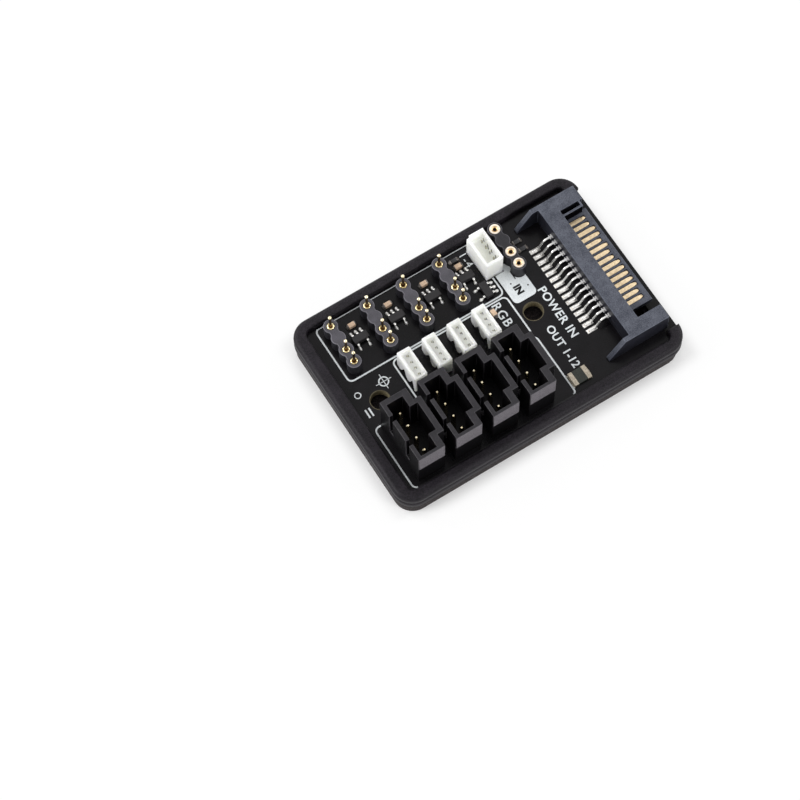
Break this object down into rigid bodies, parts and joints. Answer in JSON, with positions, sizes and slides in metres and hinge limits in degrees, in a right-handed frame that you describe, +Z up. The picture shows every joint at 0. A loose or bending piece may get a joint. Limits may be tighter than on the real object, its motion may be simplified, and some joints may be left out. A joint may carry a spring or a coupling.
{
  "type": "addressable rgb hub",
  "caption": "Small lighting hub: a circuit board in a soft tray, with a flat power plug at one end and rows of pin headers, white sockets and shrouded headers on top.",
  "frame": {"origin": "middle of the tray's flat underside", "axes": "+X along the board towards the power plug, +Y across the board towards the strip headers, +Z up out of the tray"},
  "size_m": [0.0574, 0.0386, 0.0137],
  "materials": {
    "tray_rubber": "matt, faint sheen",
    "board": "satin solder mask",
    "strip_plastic": "matt moulded",
    "input_strip_plastic": "matt moulded",
    "pin_gold": "thin gold plating",
    "socket_gold": "gold plating",
    "white_nylon": "satin moulded",
    "tin_contacts": "tinned",
    "shroud_plastic": "satin moulded",
    "plug_plastic": "matt, speckled",
    "contact_gold": "gold plating",
    "solder": "bright solder",
    "chip_resin": "matt moulded",
    "leg_tin": "tinned",
    "capacitor_ceramic": "matt ceramic",
    "end_tin": "tinned",
    "resistor_body": "glazed",
    "fuse_resin": "satin",
    "fuse_tin": "dull tinned",
    "white_print": "printed"
  },
  "bodies": {
    "root": {"tray": "tray_rubber", "circuit_board": "board", "strip_body_1": "strip_plastic", "strip_body_2": "strip_plastic", "strip_body_3": "strip_plastic", "strip_body_4": "strip_plastic", "strip_pins_1": "pin_gold", "strip_pins_2": "pin_gold", "strip_pins_3": "pin_gold", "strip_pins_4": "pin_gold", "input_strip_body": "input_strip_plastic", "input_strip_sockets": "socket_gold", "input_housing": "white_nylon", "input_contacts": "tin_contacts", "small_housing_1": "white_nylon", "small_housing_2": "white_nylon", "small_housing_3": "white_nylon", "small_housing_4": "white_nylon", "small_contacts_1": "tin_contacts", "small_contacts_2": "tin_contacts", "small_contacts_3": "tin_contacts", "small_contacts_4": "tin_contacts", "shroud_1": "shroud_plastic", "shroud_2": "shroud_plastic", "shroud_3": "shroud_plastic", "shroud_4": "shroud_plastic", "shroud_pins_1": "pin_gold", "shroud_pins_2": "pin_gold", "shroud_pins_3": "pin_gold", "shroud_pins_4": "pin_gold", "power_plug": "plug_plastic", "power_contacts": "contact_gold", "solder_pads": "solder", "driver_chip_1": "chip_resin", "driver_chip_2": "chip_resin", "driver_chip_3": "chip_resin", "driver_chip_4": "chip_resin", "input_chip": "chip_resin", "driver_legs_1": "leg_tin", "driver_legs_2": "leg_tin", "driver_legs_3": "leg_tin", "driver_legs_4": "leg_tin", "input_chip_legs": "leg_tin", "capacitor_bodies": "capacitor_ceramic", "capacitor_ends": "end_tin", "resistor_ends": "end_tin", "resistor_bodies": "resistor_body", "fuse_body": "fuse_resin", "fuse_ends": "fuse_tin", "printed_lines": "white_print", "printed_patch": "white_print"}
  },
  "joints": []
}
